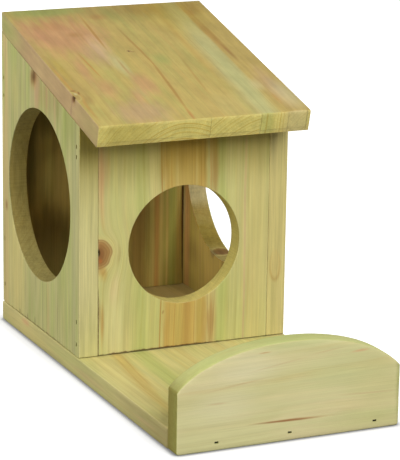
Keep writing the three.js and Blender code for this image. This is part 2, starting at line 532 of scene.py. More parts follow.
# Knot: its place in grain space, its radius, how long it is for its width, how strongly it shows and
# how deep it goes
Knot = namedtuple("Knot", "centre radius stretch strength depth", defaults=(1.0, 1.0, 100.0))

# Stave of a glued-up board: its pith, where it starts across the grain, and the pith's drift; the
# first one has no start
Stave = namedtuple("Stave", "pith start lean", defaults=(None, ZERO))

# Round hole of a board in grain space; a board without one has it out of reach
Hole = namedtuple("Hole", "centre radius")
NO_HOLE = Hole((10000.0, 0.0), 1.0)
SIDE_HOLE = Hole((95.75, 109.25), 69)
FRONT_HOLE = Hole((0, 98.3), 47)

# Chip out of a board: its place in grain space, how far it reaches and how deep it is
Chip = namedtuple("Chip", "centre reach depth")

# Deeper tones of a board, partly its timber's own and partly painted shade in its hole and inside the
# house: on the wall of its hole, and on its inner face, which is past a depth
Core = namedtuple("Core", "wall inner depth")

# How deep below its face a board takes its inner face's tone, in millimetres
BOARD_DEPTH = 15.2
BACK_DEPTH = 6.5


@dataclass
class Board:
    """What one board's material and shape need to know; lengths are in millimetres of grain space."""

    # Which solid it dresses, its slot (not used), and how its grain space lies in the scene
    node: str
    slot: str
    axes: tuple
    origin: tuple

    # Tones of its early and late wood, and how its staves and rings lie and show
    pale: tuple
    late: tuple
    staves: tuple
    spacing: float = 3.0
    waver: float = 4.0
    contrast: float = 0.3

    # Its stripes and the green of its treatment
    stripe: tuple = screen(196, 176, 112)
    striping: float = 0.6
    green: float = 0.3

    # Patches that follow its bent grain, patches that don't, and its knots
    bands: tuple = ()
    spots: tuple = ()
    knots: tuple = ()

    # Its hole, the tones below its face and the tint of its long edges, both partly painted shade, and
    # patches that show only on the edges, on the hole's wall and on the inner face
    hole: Hole = NO_HOLE
    core: Core = Core(screen(176, 152, 84), screen(226, 208, 170), BOARD_DEPTH)
    rim: tuple = ()
    edge_spots: tuple = ()
    wall_spots: tuple = ()
    inner_spots: tuple = ()

    # Its cut ends
    end_pale: tuple = screen(176, 164, 100)
    end_strength: float = 0.6
    end_contrast: float = 0.3
    pores: float = 0.3

    # How light it is (on the roof lowered as painted shade), how fibrous and how mottled, how much painted
    # shade darkens its arrises, and how rough it is
    lightness: float = 1.0
    fibre: float = 1.4
    mottle: float = 0.5
    painted_arris_shade: float = 0.0
    roughness: float = 0.62

    # How its arrises are worn and how pale they are, partly painted highlight, which ways it is pressed
    # into its joints, whether the roof trims it,
    # and from which angle an edge between its faces is a sharp one
    wear_and_highlight: float = 0.4
    sinking: float = 1.0
    pressing: tuple = ()
    under_roof: bool = False
    crease: float = math.radians(8)
    chips: tuple = ()

    def __post_init__(self):
        self.axes = Matrix(self.axes)
        self.origin = Vector(self.origin)

    def place(self, point):
        """A point of the scene in this board's millimetres of grain space."""
        return self.axes @ (point - self.origin) / MM


# What a material knows of a point on its board: its place in the grain, straight and bent, how far
# below the face it is, how ragged a patch's edge is there, and which faces, knots and cuts it is on
Surface = namedtuple(
    "Surface",
    "position bent depth rag joint rings fibres end_grain marks walled inside edged arris knots",
)


def grain_space(graph, board):
    """Position in a board's own millimetres: across the grain, along it and out of its face."""
    coordinates = graph.add("ShaderNodeTexCoord")
    turned = board.axes @ board.origin
    mapping = graph.add(
        "ShaderNodeMapping",
        {
            "Vector": coordinates.outputs["Object"],
            "Location": tuple(-turned * PER_MM),
            "Rotation": tuple(board.axes.to_euler("XYZ")),
            "Scale": (PER_MM, PER_MM, PER_MM),
        },
        vector_type="POINT",
    )
    return mapping.outputs[0], coordinates.outputs["Normal"]


def stave_values(graph, board, position):
    """Pith and drift of the stave that a point is in, and a line along each glued joint."""
    across = graph.parts(position)[0]
    first, *others = board.staves
    pith = first.pith
    lean = first.lean
    joint = 0.0
    for stave in others:
        inside = graph.maths("GREATER_THAN", across, stave.start)
        pith = graph.choice(inside, pith, stave.pith)
        lean = graph.choice(inside, lean, stave.lean)
        line = graph.rise(graph.apart(across, stave.start), 0.05, 0.4, 1.0, 0.0)
        joint = graph.maths("MAXIMUM", joint, line)
    return pith, lean, joint


def bent_round_knots(graph, board, position):
    """Position that follows the grain round a board's knots, and how far a point is from each knot."""
    bent = graph.group("Sway", Position=position, Waver=board.waver)["Bent"]
    reaches = []
    for knot in board.knots:
        knotted = graph.group(
            "Knot",
            Position=bent,
            Centre=knot.centre,
            Radius=knot.radius,
            Stretch=knot.stretch,
            Depth=knot.depth,
        )
        bent = knotted["Bent"]
        reaches.append((knot, knotted["Reach"]))
    return bent, reaches


def read_surface(graph, board):
    """What the material knows of a point on its board."""
    position, normal = grain_space(graph, board)
    bent, knots = bent_round_knots(graph, board, position)
    pith, lean, joint = stave_values(graph, board, position)
    centre = (*board.hole.centre, 0.0)
    marks = graph.group("Cutter marks", Position=position, Centre=centre, Radius=board.hole.radius)
    depth = graph.times(graph.parts(position)[2], -1.0)
    outward = graph.maths("ABSOLUTE", graph.vector("DOT_PRODUCT", normal, tuple(board.axes[2])))
    return Surface(
        position=position,
        bent=bent,
        depth=depth,
        rag=graph.swing(graph.stretched(position, RAG_PACE), 3.0, 0.6),
        joint=joint,
        rings=graph.group("Growth rings", Position=bent, Pith=pith, Lean=lean, Spacing=board.spacing),
        fibres=graph.group("Fibres", Position=bent),
        end_grain=graph.group("End grain", Normal=normal, Grain=tuple(board.axes[1]))["Mask"],
        marks=marks,
        walled=graph.times(graph.rise(depth, 0.3, 1.2), marks["Wall"]),
        inside=graph.rise(depth, board.core.depth - 0.2, board.core.depth),
        edged=graph.rise(outward, 0.6, 1.0, 1.0, 0.0),
        arris=graph.add("ShaderNodeAttribute", attribute_name="arris").outputs["Fac"],
        knots=knots,
    )


def with_patches(graph, colour, position, rag, patches, share=1.0):
    """Colour with patches of other tones laid over it, as far as the share says."""
    for patch in patches:
        mask = graph.group(
            "Patch",
            Position=position,
            Rag=rag,
            Centre=(*patch.centre, 0.0),
            Half_width=patch.half_width,
            Half_length=patch.half_length,
            Lean=patch.lean,
            Softness=patch.soft,
            Ragged=patch.ragged,
        )["Mask"]
        shown = graph.times(graph.times(mask, patch.strength), share)
        colour = graph.mix(shown, colour, TONES[patch.tone])
    return colour


def plain_timber(graph, board, finish, surface):
    """Timber before its rings show: treated blotches, stripes and bands, deeper tones and an edge tint
    that are partly painted shade, and the tones of its cuts.
    """
    blotch = graph.cloud(graph.stretched(surface.bent, BLOTCH_PACE), 3.0, 0.6)
    stripes = graph.cloud(graph.stretched(surface.bent, STRIPE_PACE), 3.0, 0.6)
    treated = graph.rise(blotch, 0.38, 0.66, 0.0, board.green)
    colour = graph.mix(treated, board.pale, tuple(finish.treatment))
    colour = graph.mix(graph.rise(stripes, 0.40, 0.62, 0.0, board.striping), colour, board.stripe)
    colour = with_patches(graph, colour, surface.bent, surface.rag, board.bands)
    # The hole's wall and the inner face take deeper tones, partly painted shade
    colour = graph.mix(graph.times(surface.walled, WALL_SHARE), colour, board.core.wall)
    colour = graph.tinted(surface.inside, colour, board.core.inner)
    # The tint of faces that look across the board: partly the timber's tone, partly painted shade
    if board.rim:
        colour = graph.tinted(surface.edged, colour, board.rim)
    return graph.mix(graph.times(surface.end_grain, board.end_strength), colour, board.end_pale)


def late_wood(graph, board, finish, surface):
    """How far the late wood's tone shows: fading in and out on the faces, and even on the ends."""
    fade = graph.cloud(graph.stretched(surface.bent, FADE_PACE), scale=2.0)
    tone = graph.rise(surface.rings["Ring tone"], 0.0, 1.0, 0.35, 1.0)
    late = graph.times(surface.rings["Late wood"], tone)
    on_face = graph.rise(fade, 0.35, 0.65, 0.25 * board.contrast, board.contrast)
    on_face = graph.times(on_face, graph.minus(1.0, surface.end_grain))
    on_end = graph.times(surface.end_grain, board.end_contrast)
    return graph.times(graph.times(late, graph.plus(on_face, on_end)), finish.grain)


def with_knot(graph, colour, knot, reach):
    """Halo, heart rings and bark line of a knot laid over a colour."""
    halo = graph.rise(reach, 1.0, 1.5, 0.6 * knot.strength, 0.0)
    colour = graph.mix(halo, colour, TONES["straw"])
    turns = graph.maths("SINE", graph.times(reach, 33.0))
    heart = graph.mix(graph.rise(turns, -0.8, 1.0, 0.1, 0.6), TONES["heart"], TONES["brown"])
    heart = graph.mix(graph.rise(reach, 0.0, 0.7, 0.6, 0.0), heart, TONES["brown"])
    inside = graph.rise(reach, 0.75, 1.08, 0.9 * knot.strength, 0.0)
    colour = graph.mix(inside, colour, heart)
    bark = graph.rise(graph.apart(reach, 0.95), 0.0, 0.09, 0.6 * knot.strength, 0.0)
    return graph.mix(bark, colour, TONES["brown"])


def with_marks(graph, board, surface, colour):
    """Colour with the board's knots, and the spots of its faces, its hole's wall and its edges."""
    for knot, reach in surface.knots:
        colour = with_knot(graph, colour, knot, reach)
    colour = with_patches(graph, colour, surface.position, surface.rag, board.spots)
    colour = with_patches(graph, colour, surface.position, surface.rag, board.inner_spots, surface.inside)
    colour = with_patches(graph, colour, surface.position, surface.rag, board.wall_spots, surface.walled)
    if board.edge_spots:
        on_edge = graph.joined(surface.depth, graph.parts(surface.position)[1], 0.0)
        share = graph.times(surface.edged, graph.minus(1.0, surface.marks["Wall"]))
        colour = with_patches(graph, colour, on_edge, surface.rag, board.edge_spots, share)
    return colour


def with_joints_wear_and_highlight(graph, board, finish, surface, colour):
    """Colour with the lines of the glued joints, and the paler arrises, partly left by sanding and partly
    painted highlight.
    """
    joint = graph.times(surface.joint, graph.rise(surface.end_grain, 0.0, 1.0, 0.08, 0.4))
    colour = graph.mix(joint, colour, TONES["umber"])
    # Paler arrises: partly sanding, partly painted highlight
    worn = graph.rise(graph.cloud(graph.scaled(surface.position, PALE_ARRIS_PACE)), 0.3, 0.6)
    worn = graph.times(graph.times(surface.arris, worn), board.wear_and_highlight * finish.wear_and_highlight)
    return graph.mix(worn, colour, TONES["cream"])


def shade_and_height(graph, board, finish, surface):
    """Light and dark of the fine fibres, pores, mottle and cutter marks, painted shade on the arrises, and
    the relief they make.
    """
    fine = graph.times(surface.fibres["Fine"], FINE_SHADE * finish.fibre * board.fibre)
    streak = graph.times(surface.fibres["Streak"], STREAK_SHADE * finish.fibre * board.fibre)
    pores = graph.swing(graph.scaled(surface.position, PORE_PACE), 2.0, 0.7)
    pores = graph.times(pores, surface.end_grain)
    mottle = graph.swing(graph.stretched(surface.bent, MOTTLE_PACE), 3.0, 0.6)
    chatter = graph.times(surface.marks["Wall"], surface.marks["Chatter"])
    shade = graph.plus(board.lightness, graph.plus(fine, streak))
    shade = graph.plus(shade, graph.times(pores, board.pores))
    shade = graph.plus(shade, graph.times(mottle, MOTTLE_SHADE * board.mottle))
    # Painted shade on the arrises, against their lighter look where they face the lamps
    shade = graph.minus(shade, graph.times(surface.arris, board.painted_arris_shade))
    shade = graph.plus(shade, graph.times(chatter, CHATTER_SHADE))
    height = graph.plus(graph.times(surface.rings["Late wood"], LATE_HEIGHT), surface.fibres["Fine"])
    height = graph.plus(graph.plus(height, pores), chatter)
    return shade, height


def board_material(board, finish):
    """Material of one board, with its own staves, patches, knots and grain."""
    material = bpy.data.materials.new(f"treated_{board.node}")
    material.use_nodes = True
    graph = Graph(material.node_tree)
    surface = read_surface(graph, board)
    colour = plain_timber(graph, board, finish, surface)
    colour = graph.tinted(late_wood(graph, board, finish, surface), colour, board.late)
    colour = with_marks(graph, board, surface, colour)
    colour = with_joints_wear_and_highlight(graph, board, finish, surface, colour)
    shade, height = shade_and_height(graph, board, finish, surface)
    rough = graph.plus(board.roughness, graph.times(surface.fibres["Fine"], FIBRE_ROUGHNESS))
    rough = graph.plus(rough, graph.times(surface.end_grain, END_ROUGHNESS))
    bump = graph.add("ShaderNodeBump", {"Strength": 1.0, "Distance": finish.relief, "Height": height})
    shader = material.node_tree.nodes["Principled BSDF"]
    graph.feed(shader.inputs["Base Color"], graph.scaled(colour, shade))
    graph.feed(shader.inputs["Roughness"], rough)
    graph.feed(shader.inputs["Normal"], bump.outputs["Normal"])
    shader.inputs["Specular IOR Level"].default_value = finish.sheen
    return material


# How near corners of a solid's copy are merged, before it is cut and after
MERGE = 0.002 * MM
SLIVER = 0.12 * MM

# Below which angle faces count as one, from which size a face counts as a plain one, up to which
# angle its rims are smooth, and how far an arris leans
FLAT_ANGLE = math.radians(0.1)
BROAD_AREA = 20 * MM * MM
SOFT_ANGLE = math.radians(50)
ARRIS_TILT = (0.05, 0.98)

# Size of the cells that a board is cut in
GRID_STEP = 3 * MM

# How far the arrises and the faces of a board sink under wear, and how long a dip and a fray are
ARRIS_SINK = 0.2 * MM
FACE_SINK = 0.06 * MM
DIP_LENGTH = 14 * MM
FRAY_SINK = 0.35 * MM
FRAY_LENGTH = 3.2 * MM

# Rounding of a free arris, the share of it that the roof's underside keeps, how far a tight edge
# presses into its joint, and how many millimetres off a hole's rim that begins
EASE = 0.8 * MM
KEEN_SHARE = 0.3
PRESS = 0.2 * MM
RIM_CLEARANCE = 2

# How far below its solid's the dressed roof's underside lies, at the eaves and at the back,
# and the room that it has on the boards below
DROP_AT_EAVES = 1.6 * MM
DROP_AT_BACK = 0.6 * MM
ROOF_JOINT = 0.05 * MM


def cut_across(mesh, point, normal):
    """New edges all round a mesh where a plane cuts it."""
    everything = [*mesh.verts, *mesh.edges, *mesh.faces]
    bmesh.ops.bisect_plane(mesh, geom=everything, dist=MERGE, plane_co=point, plane_no=normal)


def cut_in_cells(mesh, board):
    """Cuts a board's faces in cells, along the grain and across it."""
    for axis in (Vector(direction) for direction in board.axes):
        reaches = [axis.dot(vert.co) for vert in mesh.verts]
        low = min(reaches)
        span = max(reaches) - low
        count = round(span / GRID_STEP)
        for index in range(1, count):
            cut_across(mesh, axis * (low + span * index / count), axis)


def mark_arrises(mesh, board):
    """Notes which faces are arrises, and creases the edges that part them from the plain faces."""
    arris = mesh.faces.layers.float.new("arris")
    outward = Vector(board.axes[2])
    for face in mesh.faces:
        tilt = abs(face.normal.dot(outward))
        face[arris] = 1.0 if ARRIS_TILT[0] < tilt < ARRIS_TILT[1] else 0.0
        face.smooth = True
    for edge in mesh.edges:
        beside = any(face.calc_area() > BROAD_AREA for face in edge.link_faces)
        limit = board.crease if beside else SOFT_ANGLE
        edge.smooth = edge.calc_face_angle() < limit


def roof_span():
    """Where the roof's solid begins at the front and where it ends at the back."""
    low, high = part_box("roof_board")
    return low.y, high.y


def underside_drop(y, span):
    """How far below its solid's the dressed roof's underside lies, at a place in the roof's span."""
    share = (y - span[0]) / (span[1] - span[0])
    return DROP_AT_EAVES * (1 - share) + DROP_AT_BACK * share


def shape_underside(mesh, roof):
    """Draws the roof's lower arrises in to a share of their rounding, and lowers its underside."""
    places = {vert: roof.axes @ (vert.co - roof.origin) for vert in mesh.verts}
    low = Vector([min(place[axis] for place in places.values()) for axis in range(3)])
    right = max(place.x for place in places.values())
    span = roof_span()
    for vert, place in places.items():
        if place.z - low.z > EASE:
            continue
        for axis in range(3):
            if place[axis] - low[axis] < EASE:
                place[axis] = low[axis] + (place[axis] - low[axis]) * KEEN_SHARE
        if right - place.x < EASE:
            place.x = right - (right - place.x) * KEEN_SHARE
        vert.co = roof.origin + roof.axes.transposed() @ place
        vert.co.z -= underside_drop(vert.co.y, span)


def trim_to_roof(mesh):
    """Trims a board's top to the underside of the dressed roof, and closes the cut."""
    roof = roof_board()
    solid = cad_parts["roof_board"].data
    depth = max(roof.axes[2].dot(roof.origin - vert.co) for vert in solid.vertices)
    fall = depth / math.cos(roof_slope()) + ROOF_JOINT
    span = roof_span()
    ends = []
    for y in span:
        top = roof.origin.z + (y - span[0]) * math.tan(roof_slope())
        ends.append(Vector((0, y, top - fall - underside_drop(y, span))))
    upward = Vector((1, 0, 0)).cross(ends[1] - ends[0])
    everything = [*mesh.verts, *mesh.edges, *mesh.faces]
    cut = bmesh.ops.bisect_plane(
        mesh, geom=everything, dist=MERGE, plane_co=ends[0], plane_no=upward, clear_outer=True
    )
    rim = [part for part in cut["geom_cut"] if isinstance(part, bmesh.types.BMEdge)]
    bmesh.ops.edgeloop_fill(mesh, edges=rim)
    bmesh.ops.recalc_face_normals(mesh, faces=mesh.faces)


def press_edges(mesh, board):
    """Presses a board's tight edges into their joints."""
    centre = Vector(board.hole.centre)
    for toward in board.pressing:
        push = board.axes.transposed() @ Vector(toward) * PRESS
        for vert in mesh.verts:
            place = board.place(vert.co)
            clear = (place.to_2d() - centre).length > board.hole.radius + RIM_CLEARANCE
            facing = (board.axes @ vert.normal).dot(Vector(toward)) > 0.5
            if clear and facing:
                vert.co += push


def settle(mesh, board):
    """Sinks the arrises and faces a little, in dips and frays, as planing and wear leave them."""
    arris = mesh.faces.layers.float["arris"]
    moves = []
    for vert in mesh.verts:
        worn = max(face[arris] for face in vert.link_faces)
        dip = 0.5 + 0.5 * noise.noise(vert.co / DIP_LENGTH)
        depth = FACE_SINK * dip
        if worn > 0:
            fray = max(noise.noise(vert.co / FRAY_LENGTH), 0.0)
            depth = board.sinking * (ARRIS_SINK * dip + FRAY_SINK * fray * fray)
        for chip in board.chips:
            place = board.place(vert.co)
            reach = (place - Vector(chip.centre)).length / chip.reach
            if reach < 1:
                depth += chip.depth * MM * (1 - reach * reach) * (0.7 + 0.6 * noise.noise(place))
        moves.append((vert, vert.normal * depth))
    for vert, move in moves:
        vert.co -= move


def board_copy(board):
    """Merged copy of a board's solid, cut in cells and settled."""
    mesh = bmesh.new()
    mesh.from_mesh(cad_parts[board.node].data)
    bmesh.ops.remove_doubles(mesh, verts=mesh.verts, dist=MERGE)
    bmesh.ops.dissolve_limit(mesh, angle_limit=FLAT_ANGLE, verts=mesh.verts, edges=mesh.edges)
    if board.under_roof:
        trim_to_roof(mesh)
    mark_arrises(mesh, board)
    cut_in_cells(mesh, board)
    bmesh.ops.remove_doubles(mesh, verts=mesh.verts, dist=SLIVER)
    mesh.normal_update()
    press_edges(mesh, board)
    settle(mesh, board)
    if board.node == "roof_board":
        shape_underside(mesh, board)
    return mesh


def finished_piece(mesh, name, node, material):
    """Object from a bmesh: rides on the body, stands for its node and takes its finish."""
    data = bpy.data.meshes.new(name)
    mesh.to_mesh(data)
    mesh.free()
    data.materials.append(material)
    piece = bpy.data.objects.new(name, data)
    bpy.context.scene.collection.objects.link(piece)
    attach(piece, "root")
    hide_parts(node)


def dress_board(board, finish):
    """Replaces a board's solid with its shaped copy in its own timber."""
    material = board_material(board, finish)
    finished_piece(board_copy(board), f"{board.node}_timber", board.node, material)


def roof_slope():
    """Pitch of the roof board, from the faces of its solid that look up."""
    total = Vector()
    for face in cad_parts["roof_board"].data.polygons:
        if face.normal.z > 0.9 and face.normal.y < -0.1:
            total += face.normal * face.area
    return math.atan2(-total.y, total.z)


# What the timber of the base board shows
BASE_BANDS = (
    Patch("tan", (-62.5, 120), 9, 190, 0.6, 0.9, 0.5, lean=0.115),
    Patch("amber", (-58, 130), 1.2, 60, 0.3, 0.9, 0.6, lean=0.115),
    Patch("amber", (-65, 120), 1.1, 70, 0.25, 0.9, 0.6, lean=0.115),
    Patch("green", (-40, 120), 12, 200, 0.6, 0.8, 0.6, lean=0.05),
    Patch("straw", (-78, 110), 6, 200, 0.4, 0.8, lean=0.03),
    Patch("umber", (-78, 74), 14, 40, 0.08),
    Patch("amber", (0, 300), 90, 110, 0.45, 0.3, 0.2),
)

# What its edges show: depth below its top, and place along it
BASE_EDGE_SPOTS = (
    Patch("straw", (8, 290), 14, 80, 0.6, 0.9, 0.5),
    Patch("umber", (8, -6), 24, 124, 0.4, 0.95, 0.3),
    Patch("salmon", (3, 288), 4.5, 14, 0.55, 0.9, 0.6),
    Patch("rose", (9, 150), 4, 60, 0.35, 0.9, 0.6),
    Patch("rose", (8, 40), 3, 30, 0.35, 0.9, 0.6),
)


def base_board():
    """Floor of the house and of the tray, seen from above."""
    low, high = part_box("base_board")
    return Board(
        "base_board",
        "pine_base",
        axes=((1, 0, 0), (0, 1, 0), (0, 0, 1)),
        origin=(0, low.y, high.z),
        pale=screen(200, 190, 126),
        late=screen(236, 214, 170),
        staves=(Stave((10, 0, -60)), Stave((70, 0, 30), 38)),
        spacing=4.2,
        green=0.35,
        striping=0.3,
        bands=BASE_BANDS,
        # Rim: its edges a little darker, partly painted shade
        rim=screen(243, 241, 246),
        end_contrast=0.6,
        lightness=0.98,
        edge_spots=BASE_EDGE_SPOTS,
        crease=SOFT_ANGLE,
        wear_and_highlight=0.2,
    )


# What the timber of the left side shows, with some painted shade under the roof, what lies on its face,
# and what its front and rear edges show, with painted shade under the roof at their top: depth below its
# face, and height
LEFT_BANDS = (
    Patch("sand", (-172, 100), 9, 400, 0.8, 0.6, 0.3),
    Patch("green", (-155, 120), 5, 300, 0.4),
    Patch("rose", (-99, 205), 10, 42, 0.7, 0.6, 0.5),
    Patch("rose", (-77, 198), 4, 36, 0.6, 0.8, 0.5),
    Patch("green", (-120, 200), 8, 60, 0.5, 0.8),
    Patch("green", (-40, 150), 10, 200, 0.5, 0.8),
    Patch("grey", (-19, 100), 8, 250, 0.25),
    Patch("straw", (-147, 40), 32, 90, 0.75, 0.8),
    Patch("umber", (-56, 192), 11, 28, 0.22, 0.9, 0.5),
    Patch("green", (-176, 186), 5, 44, 0.6),
    Patch("straw", (-149, 185), 12, 30, 0.4),
    Patch("pale", (-41, 15), 3, 50, 0.5),
    Patch("sand", (-75, 10), 5, 60, 0.5, 0.8),
    Patch("moss", (-116, 10), 4, 60, 0.35),
    # Darker green just under the roof: partly the board's tone, partly painted shade
    Patch("moss", (-28, 182), 27, 34, 0.55, 0.9, 0.5),
    Patch("brown", (-78, 192), 44, 28, 0.28, 0.9, 0.5),
    Patch("rose", (-60, 178), 3, 40, 0.4, 0.8, 0.5),
    Patch("moss", (-54, 120), 1.2, 300, 0.4, 0.8),
    Patch("moss", (-36, 120), 1.0, 300, 0.35, 0.8),
    Patch("moss", (-88, 20), 1.4, 90, 0.35, 0.8),
)
LEFT_SPOTS = (
    # Pale line along the front arris: partly sanded wood, partly painted highlight
    Patch("pale", (-7.2, 100), 1.0, 900, 0.75, 0.3, 0.1),
    Patch("umber", (-90, 0), 100, 1.2, 0.7, 0.7, 1.6),
    Patch("amber", (-106, 202), 12, 14, 0.65, 0.9, 0.6, lean=0.25),
    Patch("umber", (-106, 203), 9.5, 10, 0.75, 0.9, 0.6, lean=0.25),
    Patch("brown", (-170.5, 84), 4.5, 7, 0.7, 1.0, 0.5),
    Patch("umber", (-54.5, 20), 0.5, 26, 0.7, 0.7, 0.3, lean=0.01),
    Patch("umber", (-42, 16), 0.35, 18, 0.5, 0.7, 0.3),
    Patch("umber", (-29, 30), 0.35, 22, 0.5, 0.7, 0.3),
    Patch("umber", (-105, 3), 1.2, 5, 0.7, 0.8, 0.6),
    Patch("umber", (-122, 2), 1.0, 4, 0.6, 0.8, 0.6),
    Patch("umber", (-140, 2), 1.6, 3, 0.6, 0.8, 0.6),
)
LEFT_EDGE_SPOTS = (
    # Painted shade under the roof at the top of the edges
    Patch("umber", (8, 182), 40, 44, 0.22, 0.9, 0.3),
    Patch("ochre", (8, 180), 40, 44, 0.5, 0.9, 0.3),
    Patch("ochre", (8, 160), 40, 54, 0.25, 0.9, 0.3),
    Patch("cream", (8, 62), 40, 54, 0.3, 0.9, 0.3),
)

# The same of the right side, with the wall of its hole and its inner face
RIGHT_BANDS = (
    Patch("rose", (163, 100), 9, 300, 0.7, 0.7),
    Patch("tan", (20, 100), 8, 300, 0.5, 0.8),
    Patch("green", (60, 180), 14, 120, 0.5, 0.8),
)
RIGHT_SPOTS = (
    # Pale line along the front arris: partly sanded wood, partly painted highlight
    Patch("straw", (7.2, 100), 1.0, 900, 0.75, 0.3, 0.1),
    Patch("umber", (8, 0), 10, 1.0, 0.6, 0.7, 1.6),
)
RIGHT_EDGE_SPOTS = (
    Patch("amber", (9, 57), 6, 15, 0.5, 0.35, 0.3),
    Patch("straw", (9, 59), 4.9, 14, 0.8, 0.35, 0.3),
)
RIGHT_WALL_SPOTS = (
    Patch("sand", (184, 86), 16, 28, 0.5),
    Patch("cream", (160, 83), 14, 20, 0.55, 0.8),
    Patch("ochre", (134, 48), 28, 24, 0.5),
    Patch("umber", (134, 44), 26, 26, 0.4),
    Patch("umber", (112, 43), 6, 7, 0.5, 0.6),
)
RIGHT_INNER_SPOTS = (
    Patch("sand", (172, 68), 9, 30, 0.35),
    # Painted shade low at the rear of the inner face
    Patch("umber", (150, 34), 20, 18, 0.3),
    Patch("umber", (112, 43), 6, 7, 0.5, 0.6),
)


def side_board(node, outward, wall, **marks):
    """One side: its face looks to the left for outward -1 and to the right for outward 1."""
    low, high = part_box(node)
    along, up = SIDE_HOLE.centre
    return Board(
        node,
        "pine_side",
        axes=((0, outward, 0), (0, 0, 1), (outward, 0, 0)),
        origin=(low.x if outward < 0 else high.x, 0, low.z),
        pale=screen(182, 176, 118),
        late=screen(222, 206, 170),
        fibre=1.9,
        staves=(Stave((-60, 0, -70)),),
        spacing=3.4,
        green=0.55,
        stripe=screen(176, 168, 118),
        hole=Hole((along * outward, up), SIDE_HOLE.radius),
        core=Core(wall, screen(230, 201, 158), BOARD_DEPTH),
        pores=0.12,
        sinking=0.4,
        under_roof=True,
        **marks,
    )


def left_side():
    """The side that shows its face in the photograph."""
    return side_board(
        "left_side",
        -1,
        screen(174, 154, 82),
        bands=LEFT_BANDS,
        spots=LEFT_SPOTS,
        edge_spots=LEFT_EDGE_SPOTS,
    )


def right_side():
    """The side that shows its inner face and the wall of its hole."""
    return side_board(
        "right_side",
        1,
        screen(170, 140, 64),
        bands=RIGHT_BANDS,
        spots=RIGHT_SPOTS,
        knots=(Knot((112, 42.5, -7), 6, 1.3, 0.9, 6.5),),
        edge_spots=RIGHT_EDGE_SPOTS,
        wall_spots=RIGHT_WALL_SPOTS,
        inner_spots=RIGHT_INNER_SPOTS,
    )


# What the timber of the front panel shows
FRONT_BANDS = (
    Patch("tan", (-0.5, 100), 21, 600, 0.85, 0.3, 0.3),
    Patch("orange", (-17.5, 165), 3.4, 60, 0.3),
    Patch("amber", (-21, 100), 0.9, 400, 0.75, 0.8, 0.3),
    Patch("amber", (-13, 150), 0.8, 70, 0.55, 0.9, 0.3),
    Patch("straw", (-8, 150), 2.4, 60, 0.4, 0.9, 0.3),
    Patch("amber", (0.5, 40), 7, 80, 0.45),
    Patch("straw", (8.5, 100), 2.2, 300, 0.45, 0.9, 0.3),
    Patch("amber", (-16.5, 30), 4.8, 60, 0.3),
    Patch("amber", (14.5, 165), 4, 60, 0.35),
    Patch("amber", (16, 30), 4, 50, 0.4),
    Patch("brown", (15.6, 172), 0.9, 26, 0.5, 0.9, 0.3, lean=0.03),
    Patch("amber", (-20, 170), 4, 50, 0.4),
    Patch("amber", (24, 172), 6, 44, 0.5),
    Patch("amber", (22.5, 32), 6.5, 40, 0.5),
    Patch("amber", (12.2, 150), 0.7, 60, 0.6, 0.9, 0.3),
    Patch("rust", (20.6, 160), 0.8, 70, 0.65, 0.9, 0.3),
    Patch("amber", (7, 165), 0.7, 50, 0.5, 0.9, 0.3),
    Patch("amber", (-9.5, 35), 0.8, 60, 0.5, 0.9, 0.3),
    Patch("amber", (7.5, 30), 0.8, 60, 0.45, 0.9, 0.3),
    Patch("brown", (19.2, 38), 0.8, 40, 0.6, 0.9, 0.3, lean=-0.03),
    Patch("brown", (21.6, 34), 2.6, 34, 0.4, 0.9, 0.3),
    Patch("moss", (-5, 32), 8, 44, 0.17, 0.9, 0.3),
    Patch("moss", (12, 32), 6, 44, 0.15, 0.9, 0.3),
    Patch("green", (62, 30), 10, 44, 0.3, 0.9, 0.3),
    Patch("cream", (-59, 36), 17, 56, 0.45),
    Patch("blush", (-61, 68), 6, 20, 0.3, 0.9, 0.5),
    Patch("brown", (24, 40), 0.9, 36, 0.4, 0.9, 0.3, lean=0.04),
    Patch("green", (31, 100), 8, 600, 0.6, 0.8, 0.3),
    Patch("brown", (24.4, 153), 4.2, 26, 0.34, 0.8, 0.3),
    Patch("cream", (34.5, 158), 5, 34, 0.25, 0.9, 0.3),
    Patch("orange", (0, 180), 26, 30, 0.45, 0.8, 0.3),
    Patch("salmon", (-68, 166), 8, 26, 0.4),
    Patch("cream", (-71, 172), 6, 24, 0.3, 0.8),
    Patch("amber", (24.2, 160), 5, 40, 0.3, 0.8, 0.3),
    Patch("brown", (-62.5, 96), 3.4, 12, 0.2, 0.7),
    Patch("rose", (50.5, 100), 1.6, 300, 0.6, 0.8, 0.3),
    Patch("straw", (61, 100), 11, 600, 0.6, 0.7, 0.3),
    Patch("salmon", (-70, 158), 4, 50, 0.5, 0.8, lean=-0.02),
    Patch("green", (-38, 100), 9, 600, 0.4, 0.8, 0.3),
)

